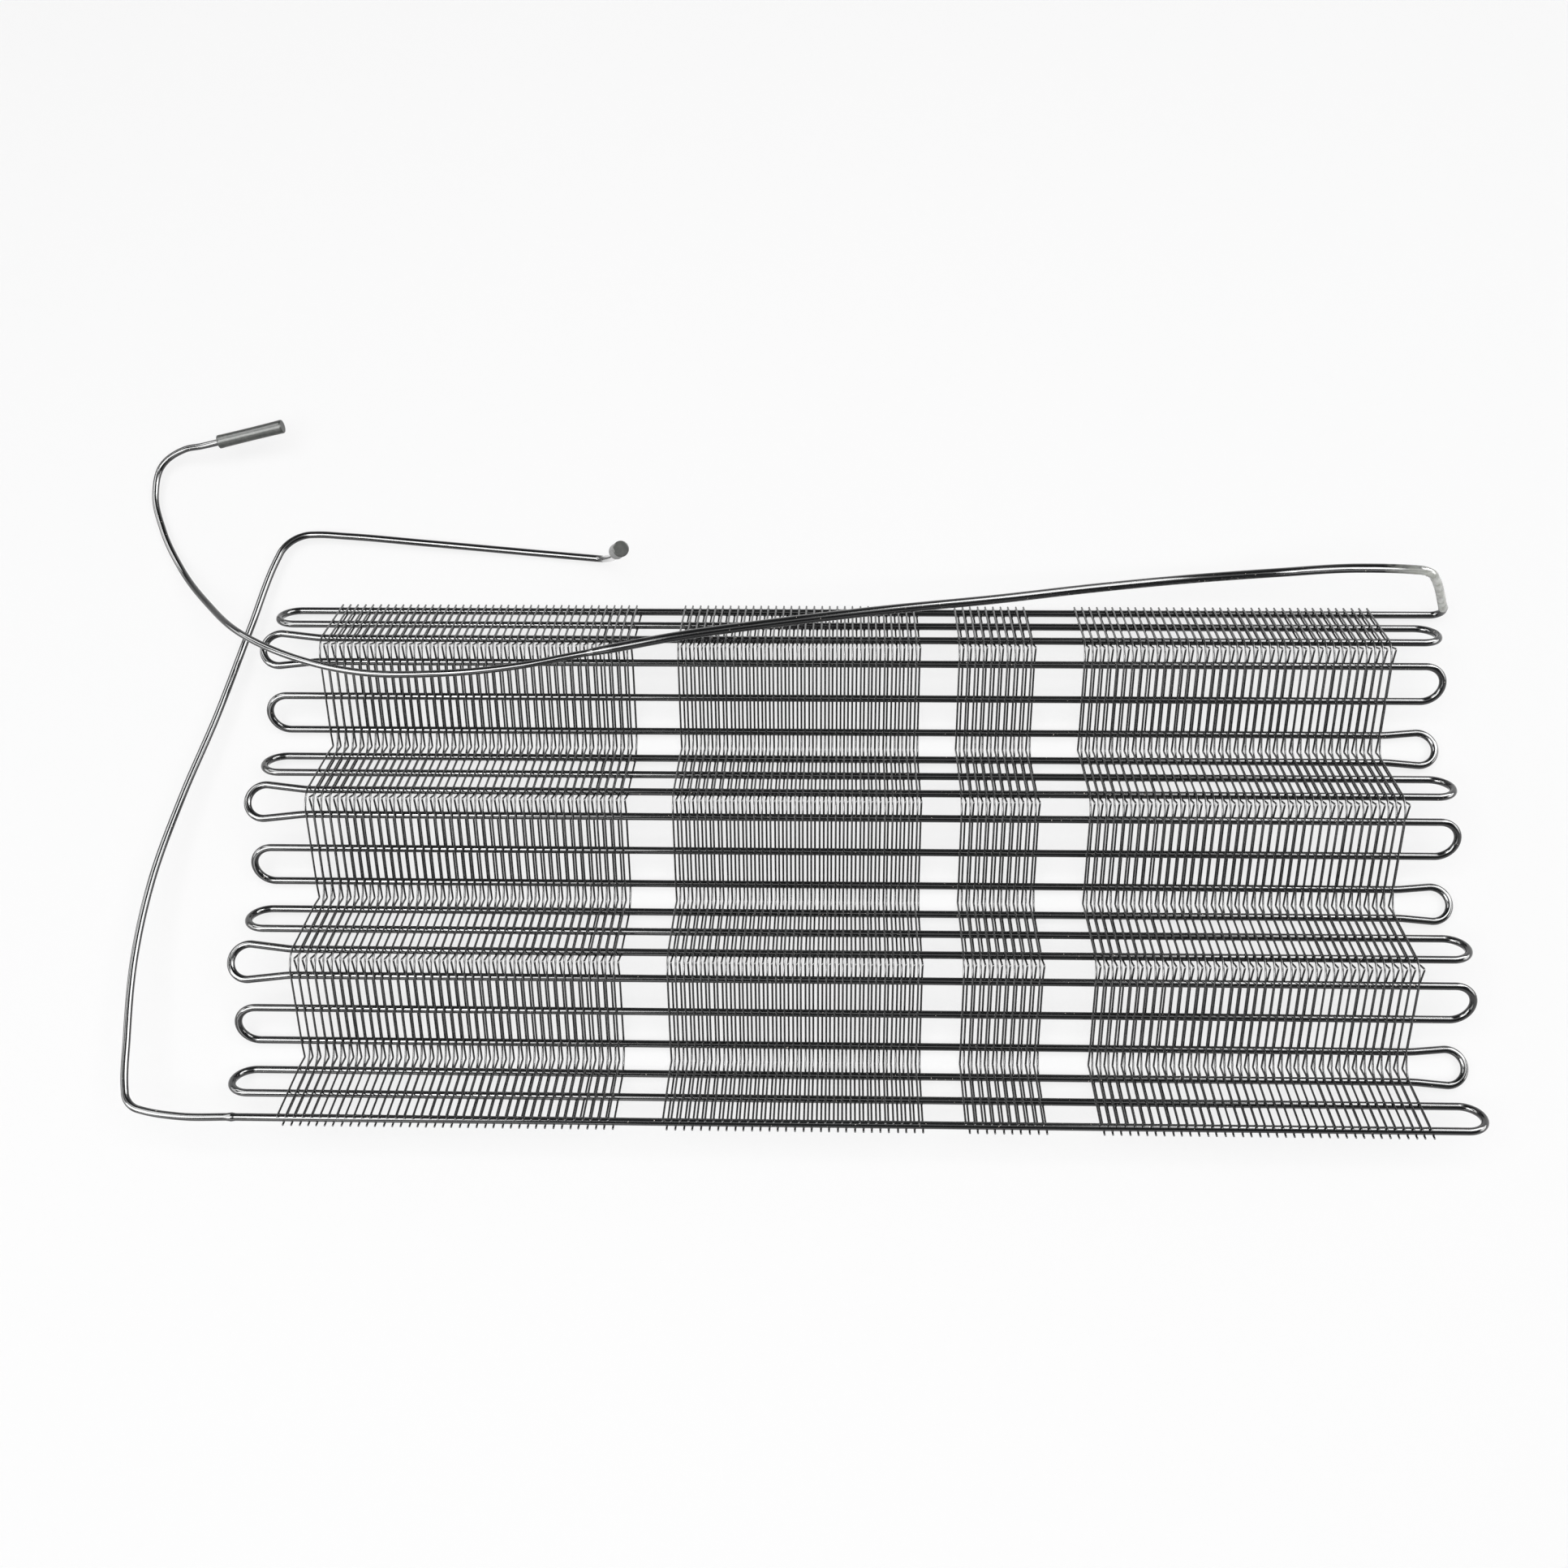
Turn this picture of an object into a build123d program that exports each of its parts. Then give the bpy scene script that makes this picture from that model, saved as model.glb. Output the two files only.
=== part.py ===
from build123d import *
import math
import os

os.makedirs("parts", exist_ok=True)

# Coil tube
tube_d = 4.76
tube_pitch = 25.0
face_count = 7
runs_per_face = 3
face_angle = 46.5
ridge_chord = 16.4
valley_chord = 18.8
bend_margin = 36.53
fold_bend_radius = 11.2
fold_bend_clearance = 2.0
tube_sides = 8
facet_turn = 30.0

# Wires, all welded across the tube runs
wire_d = 1.3
wire_pitch = 5.14
wire_sides = 3
block_names = ("left", "middle", "narrow", "right")
block_counts = (40, 31, 10, 39)
block_gaps = (32.7, 27.6, 34.1)
wires_middle_x = 2.87
lower_wire_shift = 2.5
weld_gap = 0.02
wire_overhang = 4.0
ridge_crown = 5.4
valley_crown = 4.5

# Leads
hot_gas_d = 6.0
tail_d = 4.5
neck_end_d = 5.2
neck_length = 13.0
joint_lead_in = 12.0
socket_bend_radius = 7.0
socket_reach = 12.0
socket_margin = 15.4
hot_gas_corner_radius = 6.5
outlet_joint_margin = 29.3
outlet_straight = 32.0
outlet_front_radius = 14.0
outlet_back_radius = 10.0
stub_bend_radius = 8.0

# Caps that seal the two open ends
cap_d = 9.4
cap_length = 47.0
cap_bore_depth = 22.0
cap_clearance = 0.02
cap_chamfer = 0.5
cap_lead_in = 13.0

# The chosen route of each lead, from the coil outwards
hot_gas_lean = 27.5
hot_gas_corner_place = (177.2, 72.0)
hot_gas_route = [
    (330.0, 184.8, 58.0),
    (280.0, 190.6, 37.0),
    (225.0, 189.0, 30.0),
    (165.0, 179.7, 37.0),
    (95.0, 165.5, 50.0),
    (20.0, 152.3, 62.0),
    (-50.0, 140.2, 69.0),
    (-110.0, 130.4, 70.5),
    (-163.3, 121.4, 66.0),
]
tail_over_panel = [
    (-210.0, 112.9, 63.0),
    (-262.0, 108.0, 61.0),
    (-316.0, 109.8, 58.0),
]
hot_gas_cap_aim = (43.1, 7.7, 6.9)
outlet_behind_panel = [
    (-345.0, 227.7, 9.5),
    (-290.0, 223.2, 8.5),
    (-166.8, 211.9, 8.0),
]
stub_aim = (0.1685, -0.3779, 0.9104)
stub_length = 160.0

# The stretches beside the panel are measured outwards from the tips of its left bends
tail_beside_panel = [
    (-27.1, 119.4, 56.0),
    (13.3, 139.1, 48.0),
    (46.9, 170.0, 27.0),
    (72.9, 201.5, 12.0),
    (90.9, 233.0, 7.5),
    (99.1, 260.0, 8.0),
    (95.9, 280.0, 11.0),
    (78.9, 289.5, 17.5),
]
hot_gas_cap_beside_panel = (52.8, 292.1, 24.0)
outlet_beside_panel = [
    (56.9, -168.0, 42.0),
    (61.9, -125.0, 38.0),
    (65.2, -75.0, 33.0),
    (61.9, -22.0, 28.0),
    (50.4, 36.0, 22.5),
    (35.2, 93.0, 18.0),
    (20.4, 158.0, 13.5),
    (2.9, 229.4, 10.5),
]


def unit(vector):
    """The vector at a length of one."""
    return Vector(*vector).normalized()


def run_places(first_z):
    """The y and z of each run's axis, from the back of the panel to its front."""
    step_y = tube_pitch * math.cos(lean_angle)
    step_z = tube_pitch * math.sin(lean_angle)
    places = []
    y = 0.0
    z = first_z
    for face in range(face_count):
        rising = face % 2 == 0
        for run in range(runs_per_face):
            places.append((y, z))
            if run < runs_per_face - 1:
                y -= step_y
                z += step_z if rising else -step_z
        y -= ridge_chord if rising else valley_chord
    middle = (places[0][0] + places[-1][0]) / 2
    return [(y - middle, z) for y, z in places]


def beside_panel(past_bends, y, z):
    """A point that lies the given distance past the tips of the left bends."""
    return (-bend_reach - past_bends, y, z)


def spread_corners(points, tight):
    """A route whose tight corners, given with their radii, are spread over facets of an arc."""
    corners = [Vector(*point) for point in points]
    spread = [corners[0]]
    for number in range(1, len(corners) - 1):
        corner = corners[number]
        if number not in tight:
            spread.append(corner)
            continue
        before = (corner - corners[number - 1]).normalized()
        after = (corners[number + 1] - corner).normalized()
        turn = math.radians(before.get_angle(after))
        inward = (after - before * math.cos(turn)).normalized()
        radius = tight[number]
        start = corner - before * (radius * math.tan(turn / 2))
        steps = math.ceil(math.degrees(turn) / facet_turn)
        for step in range(steps + 1):
            swung = turn * step / steps
            along = before * (radius * math.sin(swung))
            spread.append(start + along + inward * (radius * (1 - math.cos(swung))))
    spread.append(corners[-1])
    return spread


def facet_points(path):
    """The ends of straight facets that follow a path of lines and arcs, within facet_turn of each other."""
    points = [path @ 0]
    for edge in path.order_edges():
        round_stretch = edge.geom_type == GeomType.CIRCLE
        turn = math.degrees(edge.length / edge.radius) if round_stretch else 0
        steps = max(1, math.ceil(turn / facet_turn - 0.01))
        points += [edge @ (step / steps) for step in range(1, steps + 1)]
    return points


def wire_route(side):
    """The corners of one wire in the YZ plane: side is 1 for an upper wire and -1 for a lower one."""
    shift_y = side * wire_offset * math.sin(lean_angle)
    shift_z = side * wire_offset * math.cos(lean_angle)
    end_y = wire_overhang * math.cos(lean_angle)
    end_z = wire_overhang * math.sin(lean_angle)
    points = []
    for face in range(face_count):
        rising = face % 2 == 0
        way = 1 if rising else -1
        first_y, first_z = runs[face * runs_per_face]
        last_y, last_z = runs[(face + 1) * runs_per_face - 1]
        if face == 0:
            points.append((0, first_y + way * shift_y + end_y, first_z + shift_z - way * end_z))
        weld_y = last_y + way * shift_y
        weld_z = last_z + shift_z
        if face == face_count - 1:
            points.append((0, weld_y - end_y, weld_z + way * end_z))
            break
        half_chord = (ridge_chord if rising else valley_chord) / 2 + way * shift_y
        if side == way:
            # The wire runs over the outside of the fold with a flat crown
            crown = ridge_crown if rising else valley_crown
            half_crown = half_chord - crown / math.tan(lean_angle)
            points.append((0, weld_y - half_chord + half_crown, weld_z + way * crown))
            points.append((0, weld_y - half_chord - half_crown, weld_z + way * crown))
        else:
            # The wire dives into the inside of the fold and turns in a sharp V
            points.append((0, weld_y - half_chord, weld_z + way * half_chord * math.tan(lean_angle)))
    return points


def wire_blocks():
    """The x of every wire, block by block from the left."""
    blocks = []
    x = first_wire_x
    for number, count in enumerate(block_counts):
        blocks.append([x + step * wire_pitch for step in range(count)])
        if number < len(block_gaps):
            x = blocks[-1][-1] + block_gaps[number]
    return blocks


# The sizes that follow from the driving ones: the bends, the joint and the socket lie past the wires
wires_span = sum(block_gaps) + wire_pitch * (sum(block_counts) - len(block_counts)) + lower_wire_shift
first_wire_x = wires_middle_x - wires_span / 2
bend_reach = wires_span / 2 + bend_margin
outlet_joint_x = first_wire_x - outlet_joint_margin
socket_corner_x = bend_reach + socket_margin
hot_gas_corner = (socket_corner_x - hot_gas_lean, *hot_gas_corner_place)
hot_gas_cap_mouth = beside_panel(*hot_gas_cap_beside_panel)
tail_route = tail_over_panel + [beside_panel(*point) for point in tail_beside_panel]
outlet_route = [beside_panel(*point) for point in outlet_beside_panel] + outlet_behind_panel
lean_angle = math.radians(face_angle)
bar_radius = wire_d / 2 * math.sqrt(2 * math.pi / (wire_sides * math.sin(2 * math.pi / wire_sides)))
bar_inradius = bar_radius * math.cos(math.pi / wire_sides)
wire_offset = tube_d / 2 + weld_gap + bar_inradius
runs = run_places(bar_radius + valley_crown + wire_offset * math.cos(lean_angle))
first_run_y, first_run_z = runs[0]
last_run_y, last_run_z = runs[-1]
socket_corner = Vector(socket_corner_x, first_run_y, first_run_z)
socket_aim = (Vector(*hot_gas_corner) - socket_corner).normalized()
socket = socket_corner + socket_aim * socket_reach


# Coil tube: one path of 21 runs. At a fold two runs are nearer, so they spread out to their bend
plain_bend_radius = tube_pitch / 2
wire_places = wire_blocks()
left_edge = wire_places[0][0] - fold_bend_clearance
right_edge = wire_places[-1][-1] + lower_wire_shift + fold_bend_clearance
with BuildPart() as coil_tube:
    with BuildLine() as coil_path:
        here = (outlet_joint_x, last_run_y, last_run_z)
        for number in reversed(range(len(runs) - 1)):
            side = -1 if number % 2 == 0 else 1
            (far_y, far_z), (near_y, near_z) = runs[number], runs[number + 1]
            mid_y = (far_y + near_y) / 2
            tip = (side * bend_reach, mid_y, (far_z + near_z) / 2)
            if (number + 1) % runs_per_face:
                start_x = side * (bend_reach - plain_bend_radius)
                Line(here, (start_x, near_y, near_z))
                ThreePointArc((start_x, near_y, near_z), tip, (start_x, far_y, far_z))
            else:
                half_chord = far_y - mid_y
                start_x = right_edge if side > 0 else left_edge
                centre_x = side * (bend_reach - fold_bend_radius)
                spread_length = abs(centre_x - start_x)
                flare = math.asin(fold_bend_radius / math.hypot(spread_length, half_chord))
                flare -= math.atan2(half_chord, spread_length)
                touch_x = centre_x - side * fold_bend_radius * math.sin(flare)
                touch_y = fold_bend_radius * math.cos(flare)
                Line(here, (start_x, near_y, near_z))
                Line((start_x, near_y, near_z), (touch_x, mid_y - touch_y, near_z))
                ThreePointArc((touch_x, mid_y - touch_y, near_z), tip, (touch_x, mid_y + touch_y, far_z))
                Line((touch_x, mid_y + touch_y, far_z), (start_x, far_y, far_z))
            here = (start_x, far_y, far_z)
        FilletPolyline(here, socket_corner, socket, radius=socket_bend_radius)
    face_normal = (0, math.sin(lean_angle), math.cos(lean_angle))
    with BuildLine() as coil_facets:
        Polyline(*facet_points(coil_path.wire()))
    with BuildSketch(Plane(origin=coil_facets.line @ 0, x_dir=face_normal, z_dir=coil_facets.line % 0)):
        RegularPolygon(tube_d / 2, tube_sides, major_radius=False, rotation=180 / tube_sides)
    sweep(path=coil_facets.line, transition=Transition.RIGHT)
coil_tube.part.label = "coil_tube"
export_step(coil_tube.part, "parts/coil_tube.step")


# Hot gas tube: takes the coil's end, turns the tight corner and ends in a drawn neck
hot_gas_points = [socket, hot_gas_corner, *hot_gas_route]
neck_aim = (Vector(*hot_gas_points[-1]) - Vector(*hot_gas_points[-2])).normalized()
neck_start = Vector(*hot_gas_points[-1]) - neck_aim * neck_length
hot_gas_points[-1] = neck_start
tail_start = neck_start + neck_aim * neck_length
with BuildPart() as hot_gas_tube:
    with BuildLine() as hot_gas_facets:
        Polyline(*spread_corners(hot_gas_points, {1: hot_gas_corner_radius}))
    with BuildSketch(Plane(origin=socket, z_dir=socket_aim)):
        RegularPolygon(hot_gas_d / 2, tube_sides, major_radius=False)
    sweep(path=hot_gas_facets.line, transition=Transition.RIGHT)
    neck_face = hot_gas_tube.faces().sort_by_distance(neck_start)[0]
    neck_taper = math.degrees(math.atan((hot_gas_d - neck_end_d) / 2 / neck_length))
    extrude(neck_face, amount=neck_length, taper=neck_taper)
hot_gas_tube.part.label = "hot_gas_tube"
export_step(hot_gas_tube.part, "parts/hot_gas_tube.step")


def lead(name, points, tight, diameter):
    """A plain lead of the given diameter along its points."""
    with BuildPart() as tube:
        with BuildLine() as facets:
            Polyline(*spread_corners(points, tight))
        with BuildSketch(Plane(origin=facets.line @ 0, z_dir=facets.line % 0)):
            RegularPolygon(diameter / 2, tube_sides, major_radius=False)
        sweep(path=facets.line, transition=Transition.RIGHT)
    tube.part.label = name
    export_step(tube.part, f"parts/{name}.step")


# Hot gas tail: from the neck over the coil's return bend and round to its cap
tail_way = unit(hot_gas_cap_aim)
tail_turn = Vector(*hot_gas_cap_mouth) - tail_way * cap_lead_in
tail_end = Vector(*hot_gas_cap_mouth) + tail_way * cap_bore_depth
tail_points = [tail_start, tail_start + neck_aim * joint_lead_in, *tail_route, tail_turn, tail_end]
lead("hot_gas_tail", tail_points, {}, tail_d)


# Outlet tube: from the front run round the left side and the back to the raised stub
stub_way = unit(stub_aim)
stub_foot = Vector(*outlet_route[-1])
outlet_cap_mouth = stub_foot + stub_way * stub_length
outlet_end = outlet_cap_mouth + stub_way * cap_bore_depth
outlet_start = Vector(outlet_joint_x, last_run_y, last_run_z)
outlet_points = [outlet_start, outlet_start - Vector(outlet_straight, 0, 0), *outlet_route, outlet_end]
outlet_turns = {2: outlet_front_radius, 9: outlet_back_radius, len(outlet_points) - 2: stub_bend_radius}
lead("outlet_tube", outlet_points, outlet_turns, tube_d)


def cap(name, mouth, aim, bore_d):
    """A closed push-on cap with its mouth at a point on the tube."""
    across = Plane(origin=mouth, z_dir=aim).x_dir
    bore_r = bore_d / 2 + cap_clearance
    with BuildPart() as sleeve:
        with BuildSketch(Plane(origin=mouth, x_dir=across, z_dir=across.cross(aim))):
            with BuildLine():
                Polyline((bore_r, 0), (cap_d / 2, 0), (cap_d / 2, cap_length))
                Polyline((cap_d / 2, cap_length), (0, cap_length), (0, cap_bore_depth))
                Polyline((0, cap_bore_depth), (bore_r, cap_bore_depth), (bore_r, 0))
            make_face()
            chamfer(vertices().group_by(SortBy.DISTANCE)[-1], length=cap_chamfer)
        revolve(axis=Axis(mouth, aim))
    sleeve.part.label = name
    export_step(sleeve.part, f"parts/{name}.step")


# The two caps, each with its tube's end seated against the bottom of its bore
octagon_growth = 1 / math.cos(math.pi / tube_sides)
cap("hot_gas_cap", Vector(*hot_gas_cap_mouth), tail_way, tail_d * octagon_growth)
cap("outlet_cap", outlet_cap_mouth, stub_way, tube_d * octagon_growth)


# Wires: each is a lean bar with the round wire's section area and a flat against the tubes
for side, side_name, shift in ((1, "upper", 0.0), (-1, "lower", lower_wire_shift)):
    with BuildPart() as wire:
        with BuildLine() as wire_path:
            Polyline(*wire_route(side))
        away = (0, side * math.sin(lean_angle), side * math.cos(lean_angle))
        with BuildSketch(Plane(origin=wire_path.line @ 0, x_dir=away, z_dir=wire_path.line % 0)):
            RegularPolygon(bar_radius, wire_sides)
        sweep(transition=Transition.RIGHT)
    for block_name, places in zip(block_names, wire_places):
        edges = [places[0], places[-1]]
        for group_name, chosen in (("wires", places[1:-1]), ("edge_wires", edges)):
            with BuildPart() as group:
                with Locations([(x + shift, 0, 0) for x in chosen]):
                    add(wire.part)
            group.part.label = f"{side_name}_{block_name}_{group_name}"
            export_step(group.part, f"parts/{group.part.label}.step")
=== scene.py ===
# %% [markdown]
# A condenser coil is one long thin tube folded to and fro, with bent steel wires welded across it.
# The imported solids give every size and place. They are lean: the tubes have flat sides and the
# wires are three-sided bars. This scene makes the same pieces round and smooth, adds the welds,
# the wrinkled corner and the brazed joints, and gives each one its paint.

# %% Load the frame
import math

import bmesh
import bpy
from mathutils import Matrix, Vector


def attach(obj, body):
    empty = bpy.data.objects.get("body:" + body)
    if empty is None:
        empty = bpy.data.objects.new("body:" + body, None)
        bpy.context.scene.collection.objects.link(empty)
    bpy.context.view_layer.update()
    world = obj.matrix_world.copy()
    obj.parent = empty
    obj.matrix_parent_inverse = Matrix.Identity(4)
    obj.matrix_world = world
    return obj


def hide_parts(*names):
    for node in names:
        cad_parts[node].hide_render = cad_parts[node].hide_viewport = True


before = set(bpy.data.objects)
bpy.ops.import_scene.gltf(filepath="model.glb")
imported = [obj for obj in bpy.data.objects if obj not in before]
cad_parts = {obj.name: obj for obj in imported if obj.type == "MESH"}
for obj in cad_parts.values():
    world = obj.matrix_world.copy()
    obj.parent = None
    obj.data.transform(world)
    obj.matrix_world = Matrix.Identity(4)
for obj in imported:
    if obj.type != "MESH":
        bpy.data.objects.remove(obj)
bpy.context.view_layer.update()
print("nodes", len(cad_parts))

# %% [markdown]
# Sizes are kept in millimetres under plain names, as on a drawing, and turned to metres only
# where a mesh is made. Everything else is worked out from them.

# %% Sizes of the panel
MM = 0.001
tube_d = 4.76
tube_pitch = 25.0
face_count = 7
runs_per_face = 3
lean_angle = math.radians(46.5)
ridge_chord = 16.4
valley_chord = 18.8
bend_reach = 383.1
wire_d = 1.3
wire_pitch = 5.14
blocks = {"left": 40, "middle": 31, "narrow": 10, "right": 39}
block_gaps = (32.7, 27.6, 34.1)
first_wire_x = -343.7
lower_wire_shift = 2.5
wire_overhang = 4.0
valley_tube_z = 7.51
wire_offset = (tube_d + wire_d) / 2
collar_reach = 3.0
print("runs", face_count * runs_per_face, "and wires", 2 * sum(blocks.values()))

# %% [markdown]
# The tube's runs lie on a zigzag of seven faces, three runs to a face. Walking down the faces
# gives the place of each run. The same list then shapes the tube, the wires and the welds, so
# they can't drift apart.

# %% Places of the runs
def face_way(face):
    """1 on a face that rises towards the front and -1 on one that falls."""
    return 1 if face % 2 == 0 else -1


def run_places():
    """The y and z of each run's middle, from the back of the panel to the front."""
    step_y = tube_pitch * math.cos(lean_angle)
    step_z = tube_pitch * math.sin(lean_angle)
    places = []
    y = 0.0
    z = valley_tube_z
    for face in range(face_count):
        way = face_way(face)
        for run in range(runs_per_face):
            places.append((y, z))
            if run < runs_per_face - 1:
                y -= step_y
                z += way * step_z
        y -= ridge_chord if way == 1 else valley_chord
    middle = (places[0][0] + places[-1][0]) / 2
    return [(y - middle, z) for y, z in places]


runs = run_places()
first_run_y, first_run_z = runs[0]
last_run_y, last_run_z = runs[-1]
print("first run at y", round(first_run_y, 1), "and last at", round(last_run_y, 1))

# %% [markdown]
# Smooth tubes are made in two ways here. Straight runs with round bends are exact arcs, so
# their points come from a formula. Leads that were bent by hand follow a smooth curve through
# a few chosen points, with each tight corner spread over an arc first.

# %% Helpers for paths
def arc_points(centre, start, turn_axis, angle, steps):
    """Points of an arc about a centre, without its first point."""
    arm = Vector(start) - Vector(centre)
    points = []
    for step in range(1, steps + 1):
        turned = Matrix.Rotation(angle * step / steps, 3, Vector(turn_axis)) @ arm
        points.append(Vector(centre) + turned)
    return points


def spread_corners(points, tight, facet_turn=15.0):
    """A route whose tight corners, given with their radii, are spread over an arc."""
    corners = [Vector(point) for point in points]
    spread = [corners[0]]
    for number in range(1, len(corners) - 1):
        corner = corners[number]
        if number not in tight:
            spread.append(corner)
            continue
        before = (corner - corners[number - 1]).normalized()
        after = (corners[number + 1] - corner).normalized()
        turn = before.angle(after)
        inward = (after - before * math.cos(turn)).normalized()
        radius = tight[number]
        start = corner - before * (radius * math.tan(turn / 2))
        steps = math.ceil(math.degrees(turn) / facet_turn)
        for step in range(steps + 1):
            swung = turn * step / steps
            along = before * (radius * math.sin(swung))
            spread.append(start + along + inward * (radius * (1 - math.cos(swung))))
    spread.append(corners[-1])
    return spread


def smooth_route(points, longest):
    """A smooth curve through points, in steps of at most the longest.

    Each stretch is a cubic whose ends lean as their neighbours do.
    """
    leans = []
    for number, point in enumerate(points):
        if number in (0, len(points) - 1):
            near = 1 if number == 0 else number - 1
            way = 1 if number == 0 else -1
            leans.append(((points[near] - point) * way).normalized())
            continue
        before = point - points[number - 1]
        after = points[number + 1] - point
        lean = before.normalized() * after.length + after.normalized() * before.length
        leans.append(lean.normalized())
    route = [points[0].copy()]
    for number in range(len(points) - 1):
        start, end = points[number], points[number + 1]
        reach = (end - start).length
        steps = max(1, math.ceil(reach / longest))
        for step in range(1, steps + 1):
            t = step / steps
            a = (1 + 2 * t) * (1 - t) ** 2
            b = t * (1 - t) ** 2 * reach
            c = t * t * (3 - 2 * t)
            d = t * t * (t - 1) * reach
            route.append(start * a + leans[number] * b + end * c + leans[number + 1] * d)
    return route


def line_length(line):
    """The length of a line through points."""
    return sum((end - start).length for start, end in zip(line, line[1:]))


def soft_step(share):
    """A share from 0 to 1 that starts and stops gently."""
    return share * share * (3 - 2 * share)


test_start = Vector((1, 0, 0))
test_arc = [test_start, *arc_points((0, 0, 0), test_start, (0, 0, 1), math.pi / 2, 24)]
test_share = line_length(test_arc) / (math.pi / 2)
print("a quarter circle in 24 steps has", round(test_share, 5), "of its true length")

# %% [markdown]
# A tube is a ring of points carried along its path. Each ring is turned just enough to stay
# square to the path, which is called a rotation-minimising frame, so the surface never twists.
# A radius function makes necks, flares and wrinkles part of the shape itself.

# %% Helper for a tube with a changing radius
def tube_mesh(name, route, radius_at, sides=24):
    """A closed tube along a route in millimetres.

    radius_at gets the distance along the route and the way out to the point on the ring.
    """
    verts = []
    faces = []
    travel = 0.0
    forward = (route[1] - route[0]).normalized()
    across = forward.orthogonal().normalized()
    for number, point in enumerate(route):
        if number == len(route) - 1:
            heading = (point - route[number - 1]).normalized()
        elif number == 0:
            heading = forward
        else:
            heading = (route[number + 1] - route[number - 1]).normalized()
        across = forward.rotation_difference(heading) @ across
        forward = heading
        if number:
            travel += (point - route[number - 1]).length
        side_way = forward.cross(across)
        for side in range(sides):
            angle = 2 * math.pi * side / sides
            way = across * math.cos(angle) + side_way * math.sin(angle)
            verts.append((point + way * radius_at(travel, way)) * MM)
        if number:
            low = (number - 1) * sides
            high = low + sides
            for side in range(sides):
                after = (side + 1) % sides
                faces.append((low + side, low + after, high + after, high + side))
    faces.append(tuple(reversed(range(sides))))
    faces.append(tuple(range(len(verts) - sides, len(verts))))
    mesh = bpy.data.meshes.new(name)
    mesh.from_pydata(verts, [], faces)
    mesh.polygons.foreach_set("use_smooth", [len(face) == 4 for face in faces])
    rims = {key for end_face in mesh.polygons[-2:] for key in end_face.edge_keys}
    mesh.edges.foreach_set("use_edge_sharp", [edge.key in rims for edge in mesh.edges])
    mesh.update()
    piece = bpy.data.objects.new(name, mesh)
    bpy.context.scene.collection.objects.link(piece)
    return piece


def brazed_radius(diameter, collar, reach):
    """A plain radius with a soft collar of filler at the start of the tube."""
    def radius_at(travel, way):
        if travel > reach:
            return diameter / 2
        return diameter / 2 + collar * soft_step(1 - travel / reach)
    return radius_at


braze_collar = 0.4
coil_radius = brazed_radius(tube_d, braze_collar, collar_reach)
print("radius at the joint", coil_radius(0.0, None), "and past its collar", coil_radius(9.0, None))

# %% [markdown]
# The paints share a few building blocks: a noise that is fixed to the object, a ramp from one
# colour to another, a blend of two colours and a fine bump.

# %% Helpers for paint
def new_material(name):
    """A material with its nodes and its links."""
    material = bpy.data.materials.new(name)
    material.use_nodes = True
    return material, material.node_tree.nodes, material.node_tree.links


def noise(nodes, links, place, scale, detail, distortion=0.0):
    """A cloudy pattern of values around a half, fixed to the place on the object."""
    cloud = nodes.new("ShaderNodeTexNoise")
    cloud.inputs["Scale"].default_value = scale
    cloud.inputs["Detail"].default_value = detail
    cloud.inputs["Distortion"].default_value = distortion
    links.new(place, cloud.inputs["Vector"])
    return cloud.outputs["Fac"]


def colour_ramp(nodes, links, value, low, low_colour, high, high_colour):
    """One colour up to the low value, another from the high value on, and a blend between."""
    ramp = nodes.new("ShaderNodeValToRGB")
    first, second = ramp.color_ramp.elements
    first.position = low
    first.color = (*low_colour, 1)
    second.position = high
    second.color = (*high_colour, 1)
    links.new(value, ramp.inputs["Fac"])
    return ramp.outputs["Color"]


def map_range(nodes, links, value, **ends):
    """A value moved from one range to another. Each end is named after its socket."""
    moved = nodes.new("ShaderNodeMapRange")
    for end_name, end_value in ends.items():
        moved.inputs[end_name.replace("_", " ").title()].default_value = end_value
    links.new(value, moved.inputs["Value"])
    return moved.outputs["Result"]


def blend(nodes, links, share):
    """A blend of two colours, with the share of the second."""
    mixed = nodes.new("ShaderNodeMix")
    mixed.data_type = "RGBA"
    links.new(share, mixed.inputs["Factor"])
    return mixed


def add_bump(nodes, links, height, strength, shader):
    """A bump in the shading alone, for a grain that is too fine to be made as a shape."""
    bump = nodes.new("ShaderNodeBump")
    bump.inputs["Strength"].default_value = strength
    bump.inputs["Distance"].default_value = grain_height * MM
    links.new(height, bump.inputs["Height"])
    links.new(bump.outputs["Normal"], shader.inputs["Normal"])


grain_height = 0.2
print("the grain of a paint stands at most", grain_height, "mm high")
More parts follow.
